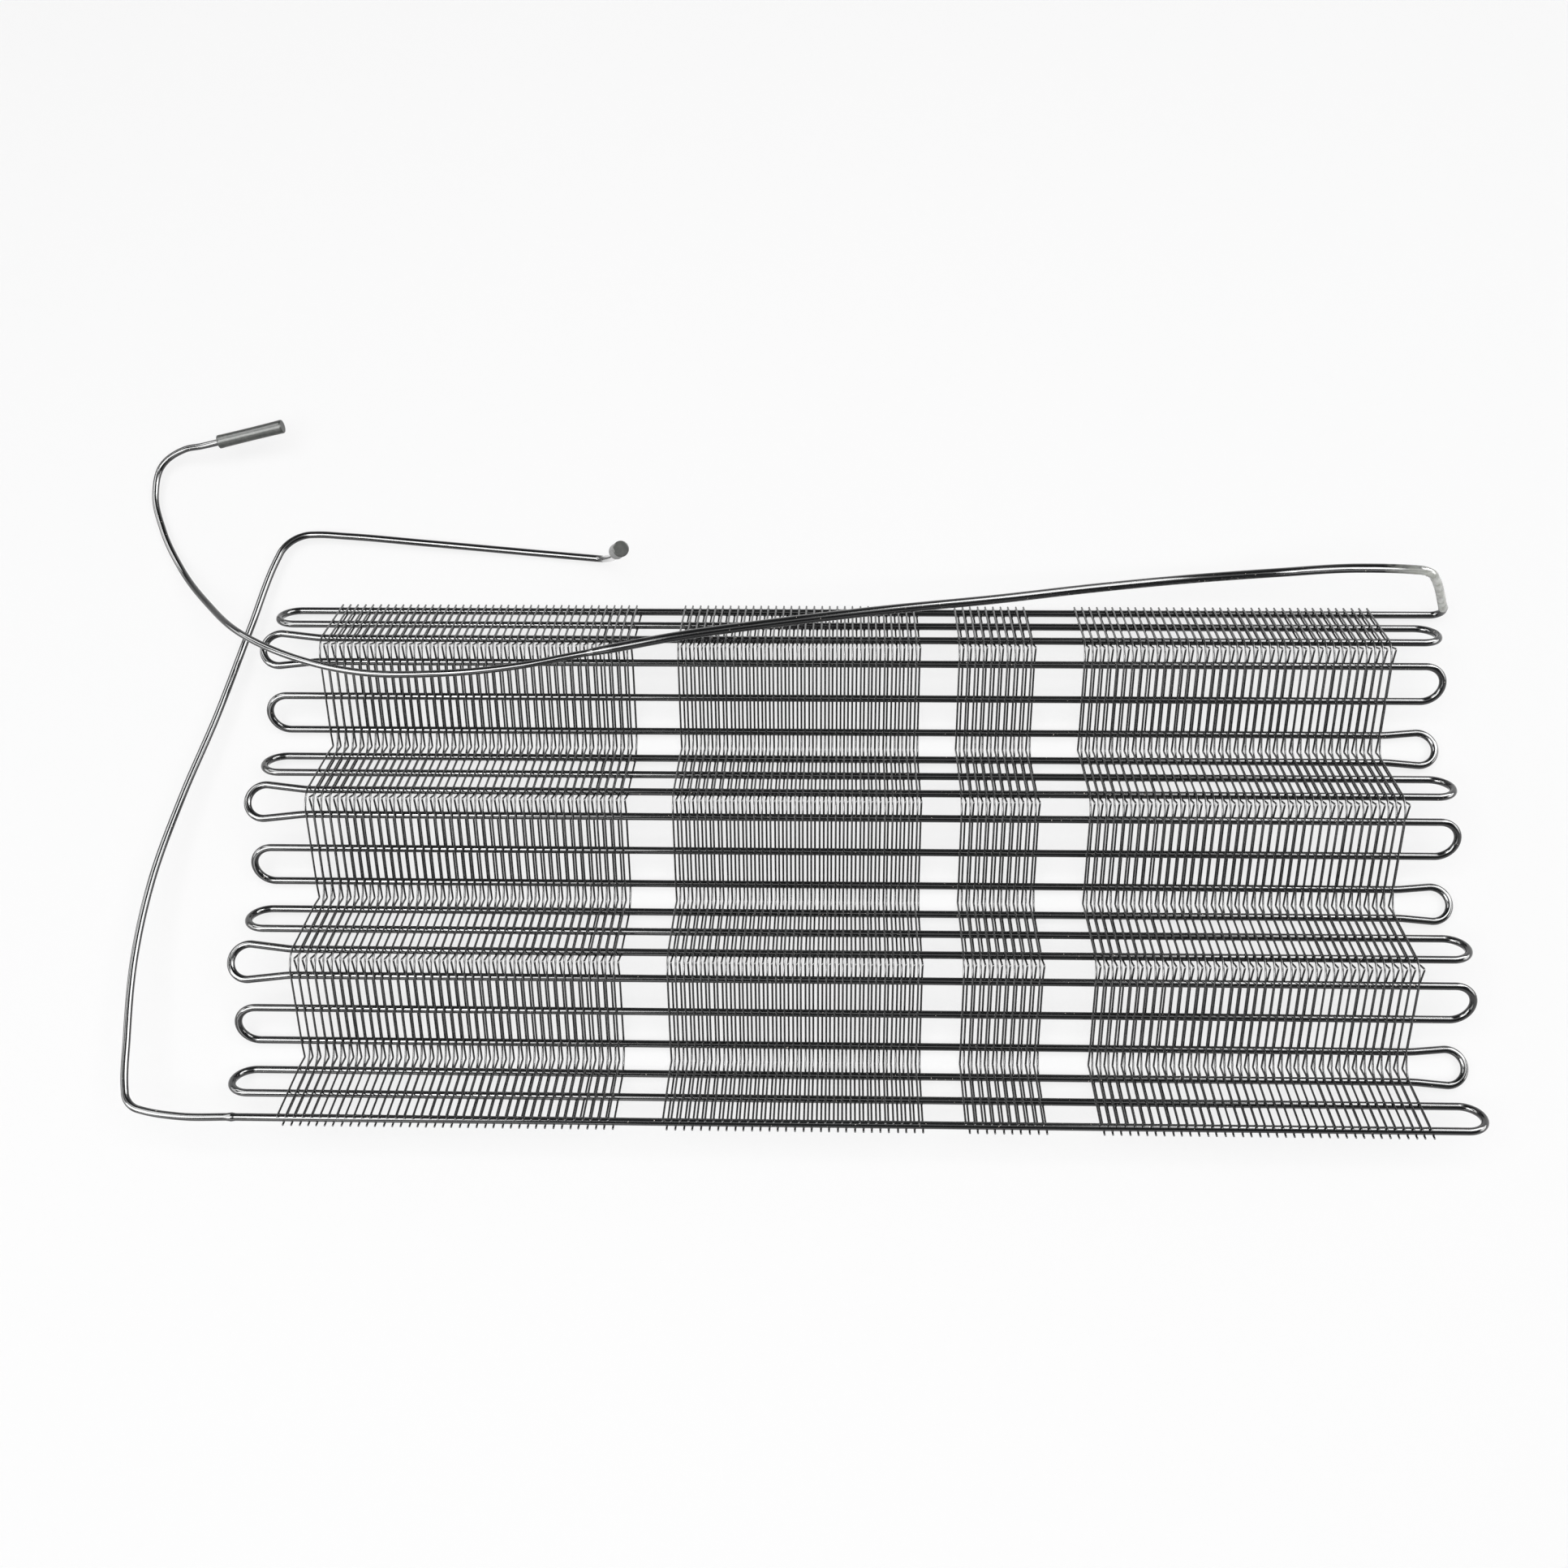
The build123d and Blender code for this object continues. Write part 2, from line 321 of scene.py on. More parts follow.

# %% [markdown]
# The real coil was sprayed or dipped in glossy black enamel. A dark base under a clear, strong
# coat gives the deep black with hard white streaks. A little noise in the roughness and bump
# keeps the reflections from looking like glass. Pale specks lie in the tubes' paint. Round the
# hot gas tube's first corner a pale, ragged patch in the colour is a painted reflection of a lamp.

# %% Paint
def painted_lamp_reflection(nodes, links, place, base, reflection_place, reflection_radius):
    """A pale, ragged patch painted into the colour round a place, fading outwards: a painted
    reflection of a lamp.
    """
    away = nodes.new("ShaderNodeVectorMath")
    away.operation = "DISTANCE"
    away.inputs[1].default_value = Vector(reflection_place) * MM
    links.new(place, away.inputs[0])
    ragged = noise(nodes, links, place, 220.0, 6.0)
    edge = nodes.new("ShaderNodeMath")
    edge.operation = "MULTIPLY_ADD"
    edge.inputs[1].default_value = reflection_radius * 0.6 * MM
    links.new(ragged, edge.inputs[0])
    links.new(away.outputs["Value"], edge.inputs[2])
    fade_start = reflection_radius * 1.35 * MM
    fade_end = reflection_radius * 0.95 * MM
    reflection_share = map_range(nodes, links, edge.outputs["Value"], from_min=fade_start, from_max=fade_end)
    reflection_colour = colour_ramp(nodes, links, ragged, 0.3, reflection_dim_grey, 0.62, reflection_pale_grey)
    # The pale greys of the painted lamp reflection are mixed over the base colour here.
    mixed = blend(nodes, links, reflection_share)
    links.new(base, mixed.inputs["A"])
    links.new(reflection_colour, mixed.inputs["B"])
    return mixed.outputs["Result"]


def speckled(nodes, links, place, base, speck_share):
    """The colour with small pale specks. A larger share gives more of them."""
    speck = noise(nodes, links, place, 900.0, 0.0)
    edge = 1 - speck_share
    mixed = blend(nodes, links, map_range(nodes, links, speck, from_min=edge, from_max=edge + 0.02))
    links.new(base, mixed.inputs["A"])
    mixed.inputs["B"].default_value = (*speck_colour, 1)
    return mixed.outputs["Result"]


def paint(name, roughness, ripple, speck_share=0.0, reflection_spots=()):
    """Glossy enamel: a dark base, a clear coat and faint orange peel.

    Each spot is a place and a radius in millimetres round which a pale painted reflection of a lamp
    lies on the paint.
    """
    material, nodes, links = new_material(name)
    place = nodes.new("ShaderNodeTexCoord").outputs["Object"]
    shader = nodes["Principled BSDF"]
    cloud = noise(nodes, links, place, 35.0, 4.0)
    darker = [part * 0.75 for part in enamel_black]
    lighter = [part * 1.3 for part in enamel_black]
    base = colour_ramp(nodes, links, cloud, 0.35, darker, 0.7, lighter)
    if speck_share:
        base = speckled(nodes, links, place, base, speck_share)
    # Each spot adds a pale painted reflection of a lamp to the colour.
    for reflection_place, reflection_radius in reflection_spots:
        base = painted_lamp_reflection(nodes, links, place, base, reflection_place, reflection_radius)
    links.new(base, shader.inputs["Base Color"])
    shine = map_range(nodes, links, cloud, to_min=roughness * 0.8, to_max=roughness * 1.3)
    links.new(shine, shader.inputs["Roughness"])
    add_bump(nodes, links, noise(nodes, links, place, 700.0, 2.0), ripple, shader)
    shader.inputs["Specular IOR Level"].default_value = 0.5
    shader.inputs["Coat Weight"].default_value = 0.4
    shader.inputs["Coat Roughness"].default_value = 0.05
    shader.inputs["Coat IOR"].default_value = 1.5
    return material


enamel_black = (0.009, 0.0095, 0.01)
# The two greys of a painted lamp reflection.
reflection_dim_grey = (0.3, 0.31, 0.27)
reflection_pale_grey = (0.58, 0.59, 0.56)
speck_colour = (0.55, 0.5, 0.45)
# Where the painted lamp reflection lies, round the hot gas tube's first corner.
hot_gas_reflection_spots = (((384.0, 168.0, 48.0), 44.0),)
tube_paint = paint("black_enamel_on_tube", 0.12, 0.03, speck_share=0.17)
enamel_with_painted_reflection = paint("black_enamel_with_painted_reflection", 0.14, 0.03, speck_share=0.17, reflection_spots=hot_gas_reflection_spots)
wire_paint = paint("black_enamel_on_wire", 0.2, 0.05)
print("paints", tube_paint.name, enamel_with_painted_reflection.name, wire_paint.name)

# %% [markdown]
# The coil tube is drawn from its braze joint at the front, run by run, to the tight bend at the
# back. A plain return bend is a half circle in the plane of its face. At a fold the bend lies
# level, and the two runs are closer together than the bend is wide, so their ends spread out to
# it in two slow curves.

# %% Path of the coil tube
socket_corner = Vector((398.5, first_run_y, first_run_z))
hot_gas_corner = Vector((371.0, 177.2, 72.0))
socket_aim = (hot_gas_corner - socket_corner).normalized()
socket_reach = 12.0
socket_bend_radius = 7.0
socket_facet_turn = 8.0
socket = socket_corner + socket_aim * socket_reach
outlet_joint = Vector((-373.0, last_run_y, last_run_z))
plain_radius = tube_pitch / 2
fold_radius = 11.2
kink_radius = 60.0
plain_bend_steps = 24
fold_bend_steps = 30
kink_steps = 4
collar_steps = 4
fold_clearance = 2.0
pitches_in_blocks = sum(blocks.values()) - len(blocks)
last_wire_x = first_wire_x + sum(block_gaps) + wire_pitch * pitches_in_blocks
fold_edges = {
    -1: first_wire_x - fold_clearance,
    1: last_wire_x + lower_wire_shift + fold_clearance,
}


def plain_bend(near, far, side):
    """A half circle from the near run's end to the far one's."""
    centre = (near + far) / 2
    axis = (far - near).cross(Vector((side, 0, 0)))
    return arc_points(centre, near, -axis.normalized(), math.pi, plain_bend_steps)


def fold_bend(near, far, side):
    """A level bend whose arms first spread slowly, as the runs are closer than it is wide."""
    half_chord = (far.y - near.y) / 2
    centre = Vector((side * (bend_reach - fold_radius), (near.y + far.y) / 2, near.z))
    spread_length = abs(centre.x - near.x)
    flare = math.asin(fold_radius / math.hypot(spread_length, half_chord))
    flare -= math.atan2(half_chord, spread_length)
    up = Vector((0, 0, side))
    back = Vector((-side * kink_radius * math.tan(flare / 2), 0, 0))
    outward = Vector((0, kink_radius, 0))
    points = [near + back]
    points += arc_points(near + back - outward, near + back, -up, flare, kink_steps)
    kink_end = points[-1]
    touch = centre - Vector((side * math.sin(flare), math.cos(flare), 0)) * fold_radius
    points.append(touch)
    points += arc_points(centre, touch, up, math.pi + 2 * flare, fold_bend_steps)
    far_start = Vector((kink_end.x, far.y + near.y - kink_end.y, far.z))
    points.append(far_start)
    points += arc_points(far + back + outward, far_start, -up, flare, kink_steps)
    return points


def coil_path():
    """The middle of the coil tube, from its braze joint to the tight bend at the back."""
    path = []
    for step in range(collar_steps + 1):
        path.append(outlet_joint + Vector((collar_reach * step / collar_steps, 0, 0)))
    for number in reversed(range(len(runs) - 1)):
        side = -1 if number % 2 == 0 else 1
        at_fold = (number + 1) % runs_per_face == 0
        start_x = fold_edges[side] if at_fold else side * (bend_reach - plain_radius)
        near = Vector((start_x, *runs[number + 1]))
        far = Vector((start_x, *runs[number]))
        path += fold_bend(near, far, side) if at_fold else [near, *plain_bend(near, far, side)]
    socket_points = [path[-1], socket_corner, socket]
    return path + spread_corners(socket_points, {1: socket_bend_radius}, socket_facet_turn)[1:]


coil_line = coil_path()
print("coil tube", round(line_length(coil_line)), "mm in", len(coil_line), "points")

# %% [markdown]
# The path becomes the tube. It rides on the part's one body, takes the enamel and stands in for
# the flat-sided tube of the pack. A collar of filler swells its first end, at the braze joint.

# %% Coil tube
coil = tube_mesh("coil_tube_round", coil_line, coil_radius, sides=20)
coil.data.materials.append(tube_paint)
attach(coil, "root")
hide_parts("coil_tube")
print("coil tube faces", len(coil.data.polygons))

# %% [markdown]
# Each wire follows the same zigzag, a tube's half thickness away from it. On the outside of a
# fold the wire springs over in an even arch. On the inside it is pushed into a sharp V, because
# it has the same length to lose in less room. The arch is an arc through three points; the V is
# two straight legs with a small round tip.

# %% Path of one wire
arch_rise = {"ridge": 5.8, "valley": 4.77}
dive_depth = {"ridge": 11.9, "valley": 9.4}
tip_radius = 0.8
arch_steps = 8
tip_steps = 4


def arch(start, end, rise):
    """Points of an arc from start to end in the YZ plane that rises by a signed height."""
    half = (start[0] - end[0]) / 2
    radius = (half * half + rise * rise) / (2 * abs(rise))
    sweep = math.asin(half / radius)
    way = math.copysign(1, rise)
    middle = (start[0] + end[0]) / 2
    centre_z = start[1] + rise - way * radius
    points = []
    for step in range(arch_steps + 1):
        angle = sweep * (1 - 2 * step / arch_steps)
        y = middle + radius * math.sin(angle)
        points.append((y, centre_z + way * radius * math.cos(angle)))
    return points


def dive(start, end, depth):
    """Points of a sharp V from start to end in the YZ plane, with a small round tip."""
    half = (start[0] - end[0]) / 2
    way = math.copysign(1, depth)
    leg = math.atan2(abs(depth), half)
    middle = (start[0] + end[0]) / 2
    centre_z = start[1] + depth - way * tip_radius / math.cos(leg)
    points = [start]
    for step in range(tip_steps + 1):
        angle = leg * (1 - 2 * step / tip_steps)
        y = middle + tip_radius * math.sin(angle)
        points.append((y, centre_z + way * tip_radius * math.cos(angle)))
    points.append(end)
    return points


def weld_point(number, side, reach=wire_offset):
    """The y and z at a reach from a run's middle, square to its face: there the wire crosses it."""
    way = face_way(number // runs_per_face)
    y, z = runs[number]
    return (y + side * way * reach * math.sin(lean_angle), z + side * reach * math.cos(lean_angle))


def wire_path(side):
    """One wire from the back to the front: side is 1 on the upper side and -1 on the lower."""
    before_round_end = wire_overhang - wire_d / 2
    end_y = before_round_end * math.cos(lean_angle)
    end_z = before_round_end * math.sin(lean_angle)
    first = weld_point(0, side)
    points = [(first[0] + end_y, first[1] - end_z)]
    for face in range(face_count):
        way = face_way(face)
        first_run = face * runs_per_face
        *face_points, start = [weld_point(first_run + run, side) for run in range(runs_per_face)]
        points += face_points
        if face == face_count - 1:
            points.append(start)
            break
        fold = "ridge" if way == 1 else "valley"
        end = weld_point(first_run + runs_per_face, side)
        if side == way:
            points += arch(start, end, way * arch_rise[fold])[:-1]
        else:
            points += dive(start, end, way * dive_depth[fold])[:-1]
    last = points[-1]
    points.append((last[0] - end_y, last[1] + end_z))
    return points


for side, side_name in ((1, "upper"), (-1, "lower")):
    points = wire_path(side)
    length = sum(math.dist(start, end) for start, end in zip(points, points[1:])) + wire_d
    print("one", side_name, "wire is", round(length), "mm long")

# %% [markdown]
# Geometry Nodes repeat the wire. The tree takes one wire's path, runs a round section along it,
# and sets copies of it along a row, each moved by a hair, as welded wires are. The small welds
# at the crossings are one more mesh, repeated with the same row, so they follow their wire.

# %% Tree that repeats a wire along the panel
def wire_tree():
    """The tree: what it is given, its steps from a path to painted wires, and their links."""
    tree = bpy.data.node_groups.new("repeat_wires", "GeometryNodeTree")
    sockets = tree.interface
    sockets.new_socket("Geometry", in_out="INPUT", socket_type="NodeSocketGeometry")
    kinds = {
        "Welds": "NodeSocketObject",
        "Wire radius": "NodeSocketFloat",
        "Sides": "NodeSocketInt",
        "Count": "NodeSocketInt",
        "First place": "NodeSocketVector",
        "Pitch": "NodeSocketVector",
        "Stray": "NodeSocketFloat",
        "Seed": "NodeSocketInt",
        "Paint": "NodeSocketMaterial",
    }
    for name, kind in kinds.items():
        sockets.new_socket(name, in_out="INPUT", socket_type=kind)
    sockets.new_socket("Geometry", in_out="OUTPUT", socket_type="NodeSocketGeometry")
    make = tree.nodes.new
    link = tree.links.new
    given = make("NodeGroupInput")
    result = make("NodeGroupOutput")
    to_curve = make("GeometryNodeMeshToCurve")
    section = make("GeometryNodeCurvePrimitiveCircle")
    to_mesh = make("GeometryNodeCurveToMesh")
    to_mesh.inputs["Fill Caps"].default_value = True
    smooth = make("GeometryNodeSetShadeSmooth")
    welds = make("GeometryNodeObjectInfo")
    pair = make("GeometryNodeJoinGeometry")
    row = make("GeometryNodeMeshLine")
    stray = make("FunctionNodeRandomValue")
    stray_x = make("ShaderNodeCombineXYZ")
    moved = make("GeometryNodeSetPosition")
    low = make("ShaderNodeMath")
    low.operation = "MULTIPLY"
    low.inputs[1].default_value = -1.0
    copies = make("GeometryNodeInstanceOnPoints")
    real = make("GeometryNodeRealizeInstances")
    painted = make("GeometryNodeSetMaterial")
    link(given.outputs["Geometry"], to_curve.inputs["Mesh"])
    link(given.outputs["Sides"], section.inputs["Resolution"])
    link(given.outputs["Wire radius"], section.inputs["Radius"])
    link(to_curve.outputs["Curve"], to_mesh.inputs["Curve"])
    link(section.outputs["Curve"], to_mesh.inputs["Profile Curve"])
    link(to_mesh.outputs["Mesh"], smooth.inputs["Geometry"])
    link(given.outputs["Welds"], welds.inputs["Object"])
    link(smooth.outputs["Geometry"], pair.inputs["Geometry"])
    link(welds.outputs["Geometry"], pair.inputs["Geometry"])
    link(given.outputs["Count"], row.inputs["Count"])
    link(given.outputs["First place"], row.inputs["Start Location"])
    link(given.outputs["Pitch"], row.inputs["Offset"])
    # The random node keeps its plain numbers at inputs 2 and 3 and at output 1.
    link(given.outputs["Stray"], low.inputs[0])
    link(low.outputs["Value"], stray.inputs[2])
    link(given.outputs["Stray"], stray.inputs[3])
    link(given.outputs["Seed"], stray.inputs["Seed"])
    link(stray.outputs[1], stray_x.inputs["X"])
    link(row.outputs["Mesh"], moved.inputs["Geometry"])
    link(stray_x.outputs["Vector"], moved.inputs["Offset"])
    link(moved.outputs["Geometry"], copies.inputs["Points"])
    link(pair.outputs["Geometry"], copies.inputs["Instance"])
    link(copies.outputs["Instances"], real.inputs["Geometry"])
    link(real.outputs["Geometry"], painted.inputs["Geometry"])
    link(given.outputs["Paint"], painted.inputs["Material"])
    link(painted.outputs["Geometry"], result.inputs["Geometry"])
    return tree


def socket_names(tree):
    """The tree's own short name for each thing that it is given."""
    items = tree.interface.items_tree
    return {item.name: item.identifier for item in items if item.in_out == "INPUT"}


def grow(name, path_points, tree, values):
    """A plain mesh made by the tree from a path in the YZ plane."""
    verts = [(0, y * MM, z * MM) for y, z in path_points]
    seed_mesh = bpy.data.meshes.new(name + "_path")
    seed_mesh.from_pydata(verts, [(n, n + 1) for n in range(len(verts) - 1)], [])
    piece = bpy.data.objects.new(name, seed_mesh)
    bpy.context.scene.collection.objects.link(piece)
    maker = piece.modifiers.new("repeat", "NODES")
    maker.node_group = tree
    names = socket_names(tree)
    for value_name, value in values.items():
        maker[names[value_name]] = value
    view_layer = bpy.context.evaluated_depsgraph_get()
    done = bpy.data.meshes.new_from_object(piece.evaluated_get(view_layer))
    piece.modifiers.remove(maker)
    piece.data = done
    bpy.data.meshes.remove(seed_mesh)
    return piece


repeat_wires = wire_tree()
print("the tree has", len(repeat_wires.nodes), "nodes")

# %% [markdown]
# A resistance weld squeezes the wire a little way into the tube and pushes up a small bead on
# each side. Under paint it reads as a soft fillet that catches the light. A flattened blob, wider
# along the wire than the wire is thick, gives that fillet for a few dozen faces.

# %% Welds of one wire
bead_half_width = 1.05
bead_half_length = 1.2
bead_half_height = 0.5
bead_lift = 0.12


def weld_mesh(side):
    """The weld beads of one wire, and the balls that round its two ends."""
    beads = bmesh.new()
    bead_scale = (bead_half_width * MM, bead_half_length * MM, bead_half_height * MM, 1)
    for number in range(len(runs)):
        place = Vector((0, *weld_point(number, side, tube_d / 2 + bead_lift)))
        turn = Matrix.Rotation(-face_way(number // runs_per_face) * lean_angle, 4, "X")
        shape = Matrix.Translation(place * MM) @ turn @ Matrix.Diagonal(bead_scale)
        bmesh.ops.create_uvsphere(beads, u_segments=8, v_segments=5, radius=1.0, matrix=shape)
    path = wire_path(side)
    for end in (path[0], path[-1]):
        place = Matrix.Translation(Vector((0, *end)) * MM)
        shape = place @ Matrix.Scale(wire_d / 2 * MM, 4)
        bmesh.ops.create_uvsphere(beads, u_segments=8, v_segments=6, radius=1.0, matrix=shape)
    mesh = bpy.data.meshes.new("welds")
    beads.to_mesh(mesh)
    beads.free()
    mesh.polygons.foreach_set("use_smooth", [True] * len(mesh.polygons))
    return mesh


print("a weld bead is", 2 * bead_half_length, "by", 2 * bead_half_width, "mm")

# %% [markdown]
# The tree runs once for each block of wires: the same wire, with the block's own count and first
# place. The lower wires lie half a pitch further on, so that they show between the upper ones.

# %% Wires
wire_sides = 8
wire_stray = 0.25
for side, side_name, shift in ((1, "upper", 0.0), (-1, "lower", lower_wire_shift)):
    welds = bpy.data.objects.new("welds_" + side_name, weld_mesh(side))
    bpy.context.scene.collection.objects.link(welds)
    x = first_wire_x + shift
    for number, (block, count) in enumerate(blocks.items()):
        name = f"{side_name}_{block}_wires"
        values = {
            "Welds": welds,
            "Wire radius": wire_d / 2 * MM,
            "Sides": wire_sides,
            "Count": count,
            "First place": (x * MM, 0.0, 0.0),
            "Pitch": (wire_pitch * MM, 0.0, 0.0),
            "Stray": wire_stray * MM,
            "Seed": number * 2 + (side > 0),
            "Paint": wire_paint,
        }
        wires = grow(name + "_round", wire_path(side), repeat_wires, values)
        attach(wires, "root")
        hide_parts(name, f"{side_name}_{block}_edge_wires")
        print(name, len(wires.data.polygons))
        x += (count - 1) * wire_pitch
        if number < len(block_gaps):
            x += block_gaps[number]
    bpy.data.objects.remove(welds)

# %% [markdown]
# The leads were bent by hand over a former, so their long stretches are gentle and uneven while
# a few corners are tight. The points repeat the chosen route of each lead.

# %% Routes of the leads
hot_gas_route = [
    (330.0, 184.8, 58.0),
    (280.0, 190.6, 37.0),
    (225.0, 189.0, 30.0),
    (165.0, 179.7, 37.0),
    (95.0, 165.5, 50.0),
    (20.0, 152.3, 62.0),
    (-50.0, 140.2, 69.0),
    (-110.0, 130.4, 70.5),
    (-163.3, 121.4, 66.0),
]
tail_route = [
    (-210.0, 112.9, 63.0),
    (-262.0, 108.0, 61.0),
    (-316.0, 109.8, 58.0),
    (-356.0, 119.4, 56.0),
    (-396.4, 139.1, 48.0),
    (-430.0, 170.0, 27.0),
    (-456.0, 201.5, 12.0),
    (-474.0, 233.0, 7.5),
    (-482.2, 260.0, 8.0),
    (-479.0, 280.0, 11.0),
    (-462.0, 289.5, 17.5),
]
outlet_route = [
    (-440.0, -168.0, 42.0),
    (-445.0, -125.0, 38.0),
    (-448.3, -75.0, 33.0),
    (-445.0, -22.0, 28.0),
    (-433.5, 36.0, 22.5),
    (-418.3, 93.0, 18.0),
    (-403.5, 158.0, 13.5),
    (-386.0, 229.4, 10.5),
    (-345.0, 227.7, 9.5),
    (-290.0, 223.2, 8.5),
    (-166.8, 211.9, 8.0),
]
hot_gas_d = 6.0
tail_d = 4.5
neck_end_d = 5.2
neck_length = 13.0
cap_lead_in = 13.0
cap_bore_depth = 22.0
stub_length = 160.0
hot_gas_cap_mouth = Vector((-435.9, 292.1, 24.0))
hot_gas_cap_aim = Vector((43.1, 7.7, 6.9)).normalized()
stub_aim = Vector((0.1685, -0.3779, 0.9104)).normalized()
stub_foot = Vector(outlet_route[-1])
outlet_cap_mouth = stub_foot + stub_aim * stub_length
print("the stub's cap begins", round(outlet_cap_mouth.z), "mm above the table")

# %% [markdown]
# The thick hot gas tube turns its first corner so tightly that the wall wrinkled on the inside.
# The wrinkles are real shape: short waves of the radius that fade out along the tube and away
# from the inside of the bend. Its far end was drawn down to take the thinner tail.

# %% Hot gas tube
hot_gas_end = Vector(hot_gas_route[-1])
neck_aim = (hot_gas_end - Vector(hot_gas_route[-2])).normalized()
neck_start = hot_gas_end - neck_aim * neck_length
hot_gas_points = [socket, hot_gas_corner, *hot_gas_route[:-1], neck_start, hot_gas_end]
hot_gas_corner_radius = 10.0
hot_gas_line = smooth_route(spread_corners(hot_gas_points, {1: hot_gas_corner_radius}), 1.0)
hot_gas_length = line_length(hot_gas_line)
from_corner = [(point - hot_gas_corner).length for point in hot_gas_line]
corner_number = from_corner.index(min(from_corner))
corner_travel = line_length(hot_gas_line[:corner_number + 1])
to_socket = (socket - hot_gas_corner).normalized()
to_inside = to_socket + (Vector(hot_gas_route[0]) - hot_gas_corner).normalized()
to_inside.normalize()
to_flank = to_inside.orthogonal()
wrinkle_height = 0.55
wrinkle_length = 3.4
wrinkle_fade = 4.5
flank_squeeze = 0.125
socket_flare = 0.25
socket_flare_reach = 4.0


def hot_gas_radius(travel, way):
    """The tube's radius with the wrinkled corner, the drawn neck and the flare over the coil."""
    radius = hot_gas_d / 2
    past_corner = travel - corner_travel
    inside = max(0.0, way.dot(to_inside))
    fade = math.exp(-(past_corner / wrinkle_fade) ** 2)
    wave = math.cos(2 * math.pi * past_corner / wrinkle_length)
    radius += wrinkle_height * fade * inside ** 2 * wave
    radius -= flank_squeeze * fade * abs(way.dot(to_flank))
    left = hot_gas_length - travel
    if left < neck_length:
        radius = (neck_end_d + (hot_gas_d - neck_end_d) * soft_step(left / neck_length)) / 2
    if travel < socket_flare_reach:
        radius += socket_flare * (1 - travel / socket_flare_reach)
    return radius


hot_gas = tube_mesh("hot_gas_tube_round", hot_gas_line, hot_gas_radius, sides=28)
# The hot gas tube takes the enamel with a pale painted lamp reflection round its first corner.
hot_gas.data.materials.append(enamel_with_painted_reflection)
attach(hot_gas, "root")
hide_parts("hot_gas_tube")
print("hot gas tube", round(hot_gas_length), "mm")

# %% [markdown]
# The tail and the outlet tube are plain tubes. Where one is brazed to another, a little filler
# runs out into a smooth collar, so the radius swells by a few tenths right at the joint.

# %% Tail and outlet tube
tail_collar = 0.3
tail_straight = 12.0
outlet_straight = 32.0
lead_step = 1.5
tail_points = [
    hot_gas_end,
    hot_gas_end + neck_aim * tail_straight,
    *tail_route,
    hot_gas_cap_mouth - hot_gas_cap_aim * cap_lead_in,
    hot_gas_cap_mouth + hot_gas_cap_aim * cap_bore_depth,
]
tail_line = smooth_route([Vector(point) for point in tail_points], lead_step)
tail_radius = brazed_radius(tail_d, tail_collar, collar_reach)
tail = tube_mesh("hot_gas_tail_round", tail_line, tail_radius)
outlet_points = [
    outlet_joint,
    outlet_joint - Vector((outlet_straight, 0, 0)),
    *outlet_route,
    outlet_cap_mouth + stub_aim * cap_bore_depth,
]
front_corner = 2
back_corner = 9
stub_corner = len(outlet_points) - 2
outlet_turns = {front_corner: 14.0, back_corner: 24.0, stub_corner: 8.0}
outlet_line = smooth_route(spread_corners(outlet_points, outlet_turns), lead_step)
outlet = tube_mesh("outlet_tube_round", outlet_line, coil_radius)
for piece, node in ((tail, "hot_gas_tail"), (outlet, "outlet_tube")):
    piece.data.materials.append(tube_paint)
    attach(piece, "root")
    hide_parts(node)
print("tail", round(line_length(tail_line)), "mm")
print("outlet tube", round(line_length(outlet_line)), "mm")

# %% [markdown]
# The caps are plain moulded sleeves, closed at one end, that keep the tubes dry in transit.
# A profile turned round the axis makes one: a square lip at the mouth, a slight waist and a flat
# end with a small round edge. Their black is greyer and softer than the paint.

# %% Caps
def cap_paint():
    """Satin moulded rubber, greyer than the paint, with a fine grain and faint scuffs."""
    material, nodes, links = new_material("black_cap_rubber")
    place = nodes.new("ShaderNodeTexCoord").outputs["Object"]
    shader = nodes["Principled BSDF"]
    scuff = noise(nodes, links, place, 140.0, 2.0, distortion=2.5)
    colour = colour_ramp(nodes, links, scuff, 0.4, cap_black, 0.75, cap_grey)
    links.new(colour, shader.inputs["Base Color"])
    add_bump(nodes, links, noise(nodes, links, place, 900.0, 3.0), 0.15, shader)
    shader.inputs["Roughness"].default_value = 0.3
    shader.inputs["Specular IOR Level"].default_value = 0.3
    return material


cap_black = (0.05, 0.054, 0.05)
cap_grey = (0.085, 0.088, 0.08)
cap_radius = 4.7
cap_length = 47.0
cap_profile = [
    (0.0, 0.0),
    (2.5, 0.0),
    (cap_radius - 0.15, 0.0),
    (cap_radius, 0.15),
    (cap_radius, 1.6),
    (cap_radius - 0.1, 3.0),
    (cap_radius - 0.18, 12.0),
    (cap_radius - 0.22, 24.0),
    (cap_radius - 0.16, 36.0),
    (cap_radius - 0.04, cap_length - 3.0),
    (cap_radius, cap_length - 1.4),
    (cap_radius - 0.06, cap_length - 0.5),
    (cap_radius - 0.25, cap_length - 0.15),
    (cap_radius - 0.6, cap_length),
    (0.0, cap_length),
]


